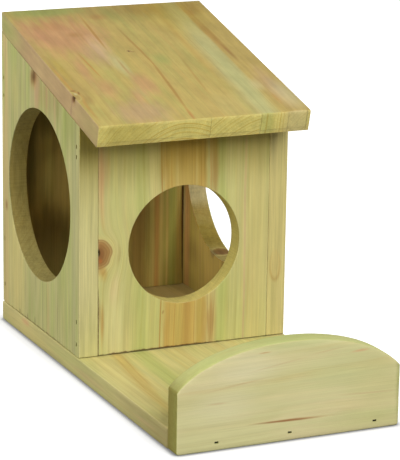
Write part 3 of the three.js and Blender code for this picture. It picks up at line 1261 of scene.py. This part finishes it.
# Its dark lines and stains, most of them round the knot, and painted shade under the eaves
FRONT_SPOTS = (
    Patch("brown", (-70.2, 97), 5, 11, 0.85, 0.8),
    Patch("umber", (-68, 96), 8, 13, 0.12, 0.7),
    Patch("dark", (-71.7, 98.3), 1.9, 3.9, 0.95, 0.6),
    Patch("umber", (-71.8, 38), 0.8, 40, 0.8, 0.4, 0.3),
    Patch("brown", (-69, 97), 1.4, 2.8, 0.7),
    Patch("resin", (-70, 91.6), 2.4, 2.8, 0.6),
    Patch("tan", (-67.5, 80), 5, 8, 0.6, 0.9, 0.6),
    Patch("amber", (-68.6, 83.5), 5.5, 6, 0.5, 0.8, 0.5),
    Patch("amber", (-68.5, 42), 2.4, 24, 0.6, 0.9, 0.6),
    Patch("brown", (-70.5, 50), 1.0, 16, 0.5, 0.9, 0.6),
    Patch("brown", (-17.6, 45.4), 1.4, 2.4, 0.5, 0.9, 0.5, lean=0.3),
    Patch("umber", (-20, 16.2), 70, 1.5, 0.85, 0.6, 1.6),
    # Painted shade under the eaves: the panel's top darkened towards olive
    Patch("ochre", (4, 196), 260, 62, 0.42, 0.9, 0.3),
    Patch("umber", (4, 196), 260, 62, 0.03, 0.9, 0.3),
)


def front_panel():
    """Panel with the small hole, seen from the front."""
    low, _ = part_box("front_panel")
    return Board(
        "front_panel",
        "pine_front",
        axes=((1, 0, 0), (0, 0, 1), (0, -1, 0)),
        origin=(0, low.y, 0),
        pale=screen(199, 188, 126),
        late=screen(230, 206, 160),
        staves=(Stave((-8, 0, -90)),),
        green=0.4,
        stripe=screen(186, 184, 119),
        bands=FRONT_BANDS,
        knots=(Knot((-72.9, 96.8, 0), 12.8, 0.93),),
        spots=FRONT_SPOTS,
        hole=FRONT_HOLE,
        core=Core(screen(192, 177, 94), screen(226, 208, 170), BOARD_DEPTH),
        end_pale=screen(214, 198, 118),
        sinking=0.4,
        pressing=((1, 0, 0), (-1, 0, 0)),
        under_roof=True,
    )


# What the timber of the back panel shows, and what its inner face shows, mostly painted shade: a dark line
# along its torn edge and dark areas inside the house
BACK_BANDS = (
    Patch("brown", (-30, 100), 15, 400, 0.55, 0.9, 0.5),
    Patch("rust", (-47, 100), 3.4, 400, 0.55, 0.8, 0.3),
    Patch("moss", (-54, 100), 2.4, 400, 0.5, 0.8, 0.3),
    Patch("green", (-61, 100), 5.5, 400, 0.8, 0.7, 0.3),
    Patch("straw", (-56.5, 100), 1.0, 400, 0.5, 0.8, 0.3),
)
BACK_INNER_SPOTS = (
    # Painted shade in the torn groove along its edge
    Patch("dark", (-70.8, 185), 2.6, 44, 0.95, 0.4, 0.8),
    Patch("umber", (-71, 100), 1.4, 90, 0.85, 0.6, 0.6),
    Patch("umber", (-36, 90), 9, 60, 0.15),
    # Painted shade in the dim corners inside the house
    Patch("dark", (50, 34), 40, 70, 0.55, 0.4, 0.3),
    Patch("dark", (71, 150), 15, 80, 0.6, 0.6, 0.3),
    Patch("dark", (46, 172), 30, 24, 0.5, 0.7, 0.3),
)

# Where its long edge is torn inside, in millimetres above the ground
TORN_HEIGHTS = range(136, 212, 5)


def back_panel():
    """Panel between the sides at the back, seen from behind."""
    _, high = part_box("back_panel")
    return Board(
        "back_panel",
        "pine_back",
        axes=((-1, 0, 0), (0, 0, 1), (0, 1, 0)),
        origin=(0, high.y, 0),
        pale=screen(196, 180, 112),
        late=screen(220, 196, 150),
        staves=(Stave((30, 0, -80)),),
        spacing=3.4,
        contrast=0.35,
        striping=0.5,
        green=0.5,
        end_contrast=0.6,
        fibre=1.8,
        bands=BACK_BANDS,
        inner_spots=BACK_INNER_SPOTS,
        chips=tuple(Chip((-71.4, height, -9), 3.4, 1.4) for height in TORN_HEIGHTS),
        under_roof=True,
        core=Core(screen(176, 152, 84), screen(253, 241, 212), BACK_DEPTH),
    )


# What the timber of the roof shows
ROOF_BANDS = (
    Patch("salmon", (-54, 162), 50, 54, 0.75, 0.8, 0.9, lean=0.1),
    Patch("salmon", (-78, 176), 20, 30, 0.5, 0.8, 0.6),
    Patch("rust", (-60, 182), 24, 15, 0.3, 0.9, 0.8),
    Patch("rose", (-42, 124), 14, 34, 0.6, 0.9, 0.8),
    Patch("blush", (-34, 134), 11, 34, 0.55, 0.9, 0.9),
    Patch("cream", (-30, 102), 8, 30, 0.5, 0.9, 0.8),
    Patch("rose", (-34, 50), 11, 16, 0.4, 0.9, 0.6),
    Patch("brown", (-81, 80), 10, 66, 0.25),
    Patch("brown", (-80, 46), 8, 14, 0.3),
    Patch("salmon", (-58, 62), 16, 26, 0.45, 0.9, 0.6),
    Patch("tan", (38, 120), 5, 100, 0.35, 0.9, 0.5, lean=0.03),
    Patch("rust", (-12, 195), 14, 9, 0.4, 0.9, 0.6),
    Patch("amber", (-44.5, 163), 9, 7, 0.4, 0.9, 0.6),
    Patch("salmon", (-63, 97), 7, 36, 0.55, 0.8, 0.6, lean=0.08),
    Patch("yellow", (-79, 100), 5, 32, 0.6, 0.8, 0.5),
    Patch("orange", (-84.6, 78), 1.6, 60, 0.7, 0.9, 0.3),
    Patch("orange", (-83.8, 30), 2.2, 30, 0.5, 0.9, 0.3),
    Patch("amber", (-28, 164), 1.7, 46, 0.7, 0.7, 0.3, lean=0.045),
    Patch("amber", (-3.6, 130), 1.7, 46, 0.6, 0.7, 0.3, lean=-0.02),
    Patch("amber", (-28.6, 98), 1.7, 24, 0.5, 0.9, 0.3, lean=0.02),
    Patch("orange", (-54, 104), 1.3, 32, 0.85, 0.7, 0.3, lean=-0.037),
    Patch("amber", (-6, 62), 1.9, 68, 0.65, 0.7, 0.3, lean=0.078),
    Patch("resin", (-10.2, 8), 2.4, 16, 0.5, 0.9, 0.5, lean=0.06),
    Patch("amber", (21.4, 75), 1.8, 56, 0.4, 0.9, 0.3, lean=0.075),
    Patch("salmon", (-24, 66), 12, 30, 0.6, 0.8, 0.8),
    Patch("salmon", (-38, 42), 7, 18, 0.4, 0.9, 0.6),
    Patch("rose", (-45, 18), 32, 30, 0.75, 0.8, 0.8),
    Patch("green", (8, 108), 10, 16, 0.5, 0.9, 0.5),
    Patch("straw", (28, 18), 24, 34, 0.35, 0.9, 0.5),
    Patch("moss", (22, 198), 30, 26, 0.25, 0.8, 0.6),
    Patch("moss", (-2, 198), 12, 22, 0.4, 0.9, 0.6),
    Patch("amber", (30, 206), 34, 20, 0.4, 0.8, 0.6),
    Patch("green", (-52, 212), 44, 15, 0.8, 0.7, 0.5),
    Patch("pale", (54, 80), 16, 260, 0.9, 0.8, lean=0.04),
    Patch("mint", (54, 60), 10, 120, 0.35, lean=0.03),
    Patch("honey", (77.5, 100), 15, 500, 1.0, 0.12, 0.1),
    Patch("amber", (67, 150), 5.5, 66, 0.65, 0.9, 0.5, lean=-0.02),
    Patch("brown", (68, 116), 2.2, 22, 0.45, 0.9, 0.5, lean=-0.04),
    Patch("amber", (72, 204), 16, 20, 0.5, 0.9, 0.6),
    Patch("rust", (68, 193), 6, 10, 0.4, 0.9, 0.6),
    Patch("rose", (76, 45), 12, 52, 0.7, 0.9, 0.6),
    Patch("orange", (70, 25), 4, 14, 0.45, 0.9, 0.6),
    Patch("cream", (82, 30), 15, 38, 0.6),
    Patch("cream", (64, 50), 8, 16, 0.45),
    Patch("ochre", (54, 210), 48, 82, 0.4, 0.9, 0.3),
    Patch("umber", (-14, 226), 200, 60, 0.2, 0.9, 0.3),
)

# Its knots' hearts, the stains of its rims, a line of painted shade along its right edge, and the tones of
# its front end
ROOF_SPOTS = (
    Patch("umber", (-12.9, 126), 1.0, 2.0, 0.85, 0.9, 0.3),
    Patch("brown", (-10, 124.5), 2.6, 1.6, 0.5, 0.9, 0.3),
    Patch("umber", (-86.7, 53), 1.1, 3.6, 0.95, 0.6, lean=-0.2),
    Patch("brown", (-84.4, 62), 3.6, 1.8, 0.8, 0.9, 0.5),
    Patch("brown", (-81.2, 57.6), 1.3, 4.5, 0.8, 0.9, 0.5, lean=0.1),
    Patch("cream", (-84.2, 56.5), 1.9, 2.4, 0.6, 0.8, 0.5),
    Patch("yellow", (-62, -1), 26, 2.5, 0.45, 0.5, 0.3),
    Patch("rose", (-88.6, 90), 1.9, 400, 0.75, 0.3, 0.3),
    # Painted shade along the right arris
    Patch("umber", (87.3, 130), 0.8, 120, 0.4, 0.7, 0.3),
    Patch("green", (51, -1), 8, 3, 0.35, 0.5, 0.3),
    Patch("cream", (77, -1), 12, 3, 0.4, 0.5, 0.3),
    Patch("blush", (74, -1), 15, 3, 0.25, 0.5, 0.3),
    Patch("umber", (84.4, -1), 0.6, 3, 0.45, 0.6, 0.3),
)

# What its long edges show: depth below its top, and place along it
ROOF_EDGE_SPOTS = (
    Patch("green", (8, 205), 20, 60, 0.6, 0.9, 0.5),
    Patch("moss", (8, 5), 20, 60, 0.3, 0.9, 0.5),
    Patch("dark", (0.6, 51.5), 1.0, 5, 0.95, 0.6, lean=-0.4),
    Patch("brown", (2.6, 52), 3, 7, 0.4, 0.9, 0.5),
)


def roof_board():
    """Sloping board of the roof, seen from above."""
    low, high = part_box("roof_board")
    slope = roof_slope()
    top = high.z - (high.y - low.y) * math.tan(slope)
    return Board(
        "roof_board",
        "pine_roof",
        axes=((1, 0, 0), (0, math.cos(slope), math.sin(slope)), (0, -math.sin(slope), math.cos(slope))),
        origin=(0, low.y, top),
        pale=screen(196, 174, 102),
        late=screen(228, 196, 140),
        staves=(
            Stave((-16, 0, -52)),
            Stave((58, 0, -60), 4),
            Stave((240, 0, -8), 46),
            Stave((120, 0, -46), 68.8),
        ),
        spacing=3.1,
        contrast=0.16,
        green=0.35,
        stripe=screen(198, 168, 98),
        striping=0.45,
        # Lightness below one: painted shade over the roof, whose top faces the front light
        lightness=0.87,
        fibre=0.8,
        mottle=1.5,
        pores=0.45,
        painted_arris_shade=0.04,
        bands=ROOF_BANDS,
        knots=(Knot((-12.9, 126, 0), 2.2, 1.0, 0.5), Knot((-87.5, 52, 0), 5, 1.3, 0.4, 7)),
        spots=ROOF_SPOTS,
        edge_spots=ROOF_EDGE_SPOTS,
        end_pale=screen(247, 228, 136),
        end_strength=0.8,
        end_contrast=0.75,
        roughness=0.56,
        sinking=0.5,
        wear_and_highlight=0.15,
        chips=(Chip((-87.5, 52, -0.5), 4.5, 1.4),),
    )


# What the timber of the lip shows: height, and place from the middle
LIP_BANDS = (
    Patch("mint", (50, 50), 30, 60, 0.35, 0.9, 0.5),
    Patch("mint", (74, 0), 10, 60, 0.55, 0.9, 0.5),
    Patch("chalk", (58, -34), 18, 38, 0.4),
    Patch("chalk", (34, -52), 22, 38, 0.3),
    Patch("pale", (34, 74), 44, 40, 0.4),
    Patch("green", (8, 60), 12, 60, 0.25, 0.9, 0.5),
    Patch("moss", (40, 89), 60, 5, 0.6, 0.9, 0.3),
    Patch("rose", (28, 62), 1.2, 34, 0.4, lean=-0.03),
    Patch("rose", (35, -57), 1.0, 12, 0.5),
    Patch("rose", (47, -40), 1.0, 34, 0.35, lean=0.12),
    Patch("rose", (58, -10), 0.9, 30, 0.3, lean=0.14),
    Patch("rose", (64, 30), 0.9, 18, 0.4, lean=0.1),
)

# Its resin streaks
LIP_SPOTS = (
    Patch("rust", (15.4, 4), 1.6, 40, 0.45, 0.9, 0.5, lean=-0.02),
    Patch("resin", (15.6, -7), 0.9, 24, 0.3, 0.8, lean=-0.02),
    Patch("brown", (15.3, -3), 1.3, 34, 0.75, 0.8, lean=-0.02),
    Patch("rust", (68, -21), 0.8, 7, 0.6, 0.9, 0.5, lean=0.03),
    Patch("salmon", (61, 55), 1.4, 10, 0.6, 0.9, 0.5, lean=0.05),
)


def lip_board():
    """Arched board across the front end of the tray; its grain runs from left to right."""
    low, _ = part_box("lip_board")
    return Board(
        "lip_board",
        "pine_lip",
        axes=((0, 0, 1), (1, 0, 0), (0, 1, 0)),
        origin=(0, low.y, 0),
        pale=screen(212, 200, 150),
        late=screen(240, 218, 184),
        staves=(Stave((20, 0, -120), lean=(0.05, 0, 0)),),
        spacing=4.2,
        green=0.25,
        stripe=screen(204, 200, 146),
        # Rim: the arch's top greener and darker, partly painted shade
        rim=screen(230, 238, 216),
        fibre=0.7,
        painted_arris_shade=0.05,
        edge_spots=(Patch("green", (7, -66), 30, 44, 0.45),),
        mottle=0.3,
        core=Core(screen(176, 152, 84), screen(250, 248, 226), BOARD_DEPTH),
        end_pale=screen(129, 119, 58),
        end_strength=1.0,
        bands=LIP_BANDS,
        spots=LIP_SPOTS,
        roughness=0.66,
        crease=SOFT_ANGLE,
        wear_and_highlight=0.0,
    )


class FEEDER_OT_effects(bpy.types.Operator):
    """Build the shared effects of timber: rings, fibres, patches, knots, end grain and cutter marks"""

    bl_idname = "feeder.timber_effects"
    bl_label = "Timber effects"

    def execute(self, context):
        for build in GROUP_BUILDERS:
            build()
        return {"FINISHED"}


class FEEDER_OT_base(bpy.types.Operator):
    """Dress the base board, floor of the house and of the tray"""

    bl_idname = "feeder.base_board"
    bl_label = "Base board"

    def execute(self, context):
        dress_board(base_board(), context.scene.feeder_finish)
        return {"FINISHED"}


class FEEDER_OT_sides(bpy.types.Operator):
    """Dress both sides of the house"""

    bl_idname = "feeder.side_boards"
    bl_label = "Side boards"

    def execute(self, context):
        dress_board(left_side(), context.scene.feeder_finish)
        dress_board(right_side(), context.scene.feeder_finish)
        return {"FINISHED"}


class FEEDER_OT_panels(bpy.types.Operator):
    """Dress the front panel and the back panel"""

    bl_idname = "feeder.panels"
    bl_label = "Front and back panels"

    def execute(self, context):
        dress_board(front_panel(), context.scene.feeder_finish)
        dress_board(back_panel(), context.scene.feeder_finish)
        return {"FINISHED"}


class FEEDER_OT_roof(bpy.types.Operator):
    """Dress the roof board"""

    bl_idname = "feeder.roof_board"
    bl_label = "Roof board"

    def execute(self, context):
        dress_board(roof_board(), context.scene.feeder_finish)
        return {"FINISHED"}


class FEEDER_OT_lip(bpy.types.Operator):
    """Dress the arched lip board of the tray"""

    bl_idname = "feeder.lip_board"
    bl_label = "Lip board"

    def execute(self, context):
        dress_board(lip_board(), context.scene.feeder_finish)
        return {"FINISHED"}


def steel_material(finish):
    """Bright steel dulled by the treatment, darker in blotches."""
    material = bpy.data.materials.new("brad_steel")
    material.use_nodes = True
    graph = Graph(material.node_tree)
    shader = material.node_tree.nodes["Principled BSDF"]
    place = graph.add("ShaderNodeTexCoord").outputs["Object"]
    blotch = graph.rise(graph.cloud(place, 3.0, scale=900.0), 0.35, 0.65)
    graph.feed(shader.inputs["Base Color"], graph.mix(blotch, tuple(finish.steel), screen(34, 30, 22)))
    graph.feed(shader.inputs["Roughness"], graph.plus(0.4, graph.times(blotch, 0.25)))
    shader.inputs["Metallic"].default_value = 0.8
    return material


class FEEDER_OT_brads(bpy.types.Operator):
    """Give the brads their dulled steel"""

    bl_idname = "feeder.brads"
    bl_label = "Brads"

    def execute(self, context):
        steel = steel_material(context.scene.feeder_finish)
        for name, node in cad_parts.items():
            if name.startswith("brad_"):
                node.data.materials.clear()
                node.data.materials.append(steel)
        return {"FINISHED"}


# Width of the camera's sensor in millimetres, and how far the camera sees in metres
SENSOR_WIDTH = 36
CLIP_END = 20

# Soft lamps: name, place and size in metres, and the setting that holds the power
LAMPS = (
    ("front_light", (0.2, -1.3, 1.15), 1.15, "key"),
    ("left_light", (-1.7, -0.1, 0.7), 1.0, "fill"),
    ("right_light", (1.7, 0.3, 0.3), 0.5, "right"),
    ("back_light", (0.1, 1.8, 0.35), 0.6, "back"),
)
LAMP_TARGET = Vector((0, 0, 0.12))

# Half the floor's width, how near the feeder the painted contact shadow reaches, and how far out the
# floor's own shadow ends
FLOOR_REACH = 6
CONTACT_REACH = 0.005
SHADOW_REACH = 0.02

# White of what is seen of the studio
WHITE = (1.0, 1.0, 1.0, 1.0)


def camera_matrix(studio):
    """Place and turn of the camera from its angles, its distance and what it looks at."""
    level = math.cos(studio.elevation)
    back = Vector(
        (math.sin(studio.azimuth) * level, -math.cos(studio.azimuth) * level, math.sin(studio.elevation))
    )
    right = Vector((0, 0, 1)).cross(back).normalized()
    up = back.cross(right)
    turned_right = right * math.cos(studio.roll) + up * math.sin(studio.roll)
    turned_up = back.cross(turned_right)
    turn = Matrix((turned_right, turned_up, back)).transposed().to_4x4()
    return Matrix.Translation(Vector(studio.target) + back * studio.distance) @ turn


def studio_camera(scene, studio):
    """Camera of the photograph."""
    data = bpy.data.cameras.new("camera")
    data.lens = studio.lens
    data.sensor_width = SENSOR_WIDTH
    data.sensor_fit = "AUTO"
    data.clip_end = CLIP_END
    camera = bpy.data.objects.new("camera", data)
    camera.matrix_world = camera_matrix(studio)
    scene.collection.objects.link(camera)
    scene.camera = camera


def studio_lamp(scene, name, place, size, power):
    """Soft square lamp that looks at the middle of the feeder."""
    data = bpy.data.lights.new(name, "AREA")
    data.shape = "SQUARE"
    data.size = size
    data.energy = power
    lamp = bpy.data.objects.new(name, data)
    aim = LAMP_TARGET - Vector(place)
    lamp.matrix_world = Matrix.Translation(place) @ aim.to_track_quat("-Z", "Y").to_matrix().to_4x4()
    scene.collection.objects.link(lamp)


def studio_world(scene, studio):
    """White where it is seen, straight on or by a mirror or glass, and a soft even light elsewhere."""
    world = bpy.data.worlds.new("studio")
    world.use_nodes = True
    scene.world = world
    graph = Graph(world.node_tree)
    background = world.node_tree.nodes["Background"]
    path = graph.add("ShaderNodeLightPath").outputs
    seen = graph.maths("MAXIMUM", path["Is Camera Ray"], path["Is Glossy Ray"])
    seen = graph.maths("MAXIMUM", seen, path["Is Transmission Ray"])
    strength = graph.plus(studio.daylight, graph.times(seen, 1.0 - studio.daylight))
    graph.feed(background.inputs["Color"], WHITE)
    graph.feed(background.inputs["Strength"], strength)


def floor_paper():
    """White paper that is darker under and close beside the feeder, by a painted contact shadow and by the
    lamps' shadow, and plain white farther away.
    """
    low, high = CAD_BOX
    middle = (Vector(low) + Vector(high)) / 2
    reach = (Vector(high) - Vector(low)) / 2
    material = bpy.data.materials.new("floor_paper")
    material.use_nodes = True
    graph = Graph(material.node_tree)
    shader = material.node_tree.nodes["Principled BSDF"]
    path = graph.add("ShaderNodeLightPath").outputs
    place = graph.add("ShaderNodeTexCoord").outputs["Object"]
    # Painted contact shadow: the floor darkened as far as the feeder's ambient occlusion reaches
    closeness = {"Distance": CONTACT_REACH}
    painted_contact_shadow = graph.add("ShaderNodeAmbientOcclusion", closeness, samples=12).outputs["AO"]
    painted_contact_shadow = graph.rise(painted_contact_shadow, 0.45, 1.0, 0.3, 1.0)
    beside = graph.less(graph.vector("ABSOLUTE", graph.less(place, middle)), reach)
    away = graph.parts(graph.vector("MAXIMUM", beside, ZERO))
    away = graph.maths("MAXIMUM", away[0], away[1])
    glow = graph.times(graph.rise(away, 0.0, SHADOW_REACH, 0.6, 0.95), painted_contact_shadow)
    paper = graph.times(graph.rise(path["Is Camera Ray"], 0.0, 1.0, 0.25, 0.35), painted_contact_shadow)
    graph.feed(shader.inputs["Base Color"], graph.joined(paper, paper, paper))
    graph.feed(shader.inputs["Roughness"], 0.9)
    shader.inputs["Specular IOR Level"].default_value = 0.0
    graph.feed(shader.inputs["Emission Color"], WHITE)
    graph.feed(shader.inputs["Emission Strength"], graph.times(path["Is Camera Ray"], glow))
    return material


def studio_floor(scene):
    """White floor that keeps the feeder's shadow near it, with a painted contact shadow where the feeder
    stands.
    """
    mesh = bmesh.new()
    bmesh.ops.create_grid(mesh, x_segments=1, y_segments=1, size=FLOOR_REACH)
    data = bpy.data.meshes.new("floor")
    mesh.to_mesh(data)
    mesh.free()
    data.materials.append(floor_paper())
    floor = bpy.data.objects.new("floor", data)
    scene.collection.objects.link(floor)


class FEEDER_OT_studio(bpy.types.Operator):
    """Set up the white floor, the soft lamps and the camera"""

    bl_idname = "feeder.studio"
    bl_label = "Studio"

    def execute(self, context):
        scene = context.scene
        studio = scene.feeder_studio
        scene.view_settings.view_transform = "Standard"
        studio_world(scene, studio)
        studio_floor(scene)
        for name, place, size, power in LAMPS:
            studio_lamp(scene, name, place, size, getattr(studio, power))
        studio_camera(scene, studio)
        return {"FINISHED"}


OPERATORS = (
    FEEDER_OT_effects,
    FEEDER_OT_studio,
    FEEDER_OT_base,
    FEEDER_OT_sides,
    FEEDER_OT_panels,
    FEEDER_OT_roof,
    FEEDER_OT_lip,
    FEEDER_OT_brads,
)


class FEEDER_PT_sidebar(bpy.types.Panel):
    """Lists the steps that dress the feeder"""

    bl_idname = "FEEDER_PT_sidebar"
    bl_label = "Squirrel feeder box"
    bl_space_type = "VIEW_3D"
    bl_region_type = "UI"
    bl_category = "Feeder"

    def draw(self, context):
        for group in (context.scene.feeder_finish, context.scene.feeder_studio):
            box = self.layout.box()
            for name in group.__annotations__:
                box.prop(group, name)
        for operator in OPERATORS:
            self.layout.operator(operator.bl_idname)


CLASSES = (FEEDER_PG_finish, FEEDER_PG_studio, *OPERATORS, FEEDER_PT_sidebar)


def register():
    for item in CLASSES:
        bpy.utils.register_class(item)
    bpy.types.Scene.feeder_finish = bpy.props.PointerProperty(type=FEEDER_PG_finish)
    bpy.types.Scene.feeder_studio = bpy.props.PointerProperty(type=FEEDER_PG_studio)


def unregister():
    del bpy.types.Scene.feeder_finish
    del bpy.types.Scene.feeder_studio
    for item in reversed(CLASSES):
        bpy.utils.unregister_class(item)


def main():
    register()
    bpy.ops.feeder.timber_effects()
    bpy.ops.feeder.studio()
    bpy.ops.feeder.base_board()
    bpy.ops.feeder.side_boards()
    bpy.ops.feeder.panels()
    bpy.ops.feeder.roof_board()
    bpy.ops.feeder.lip_board()
    bpy.ops.feeder.brads()


if __name__ == "__main__":
    main()
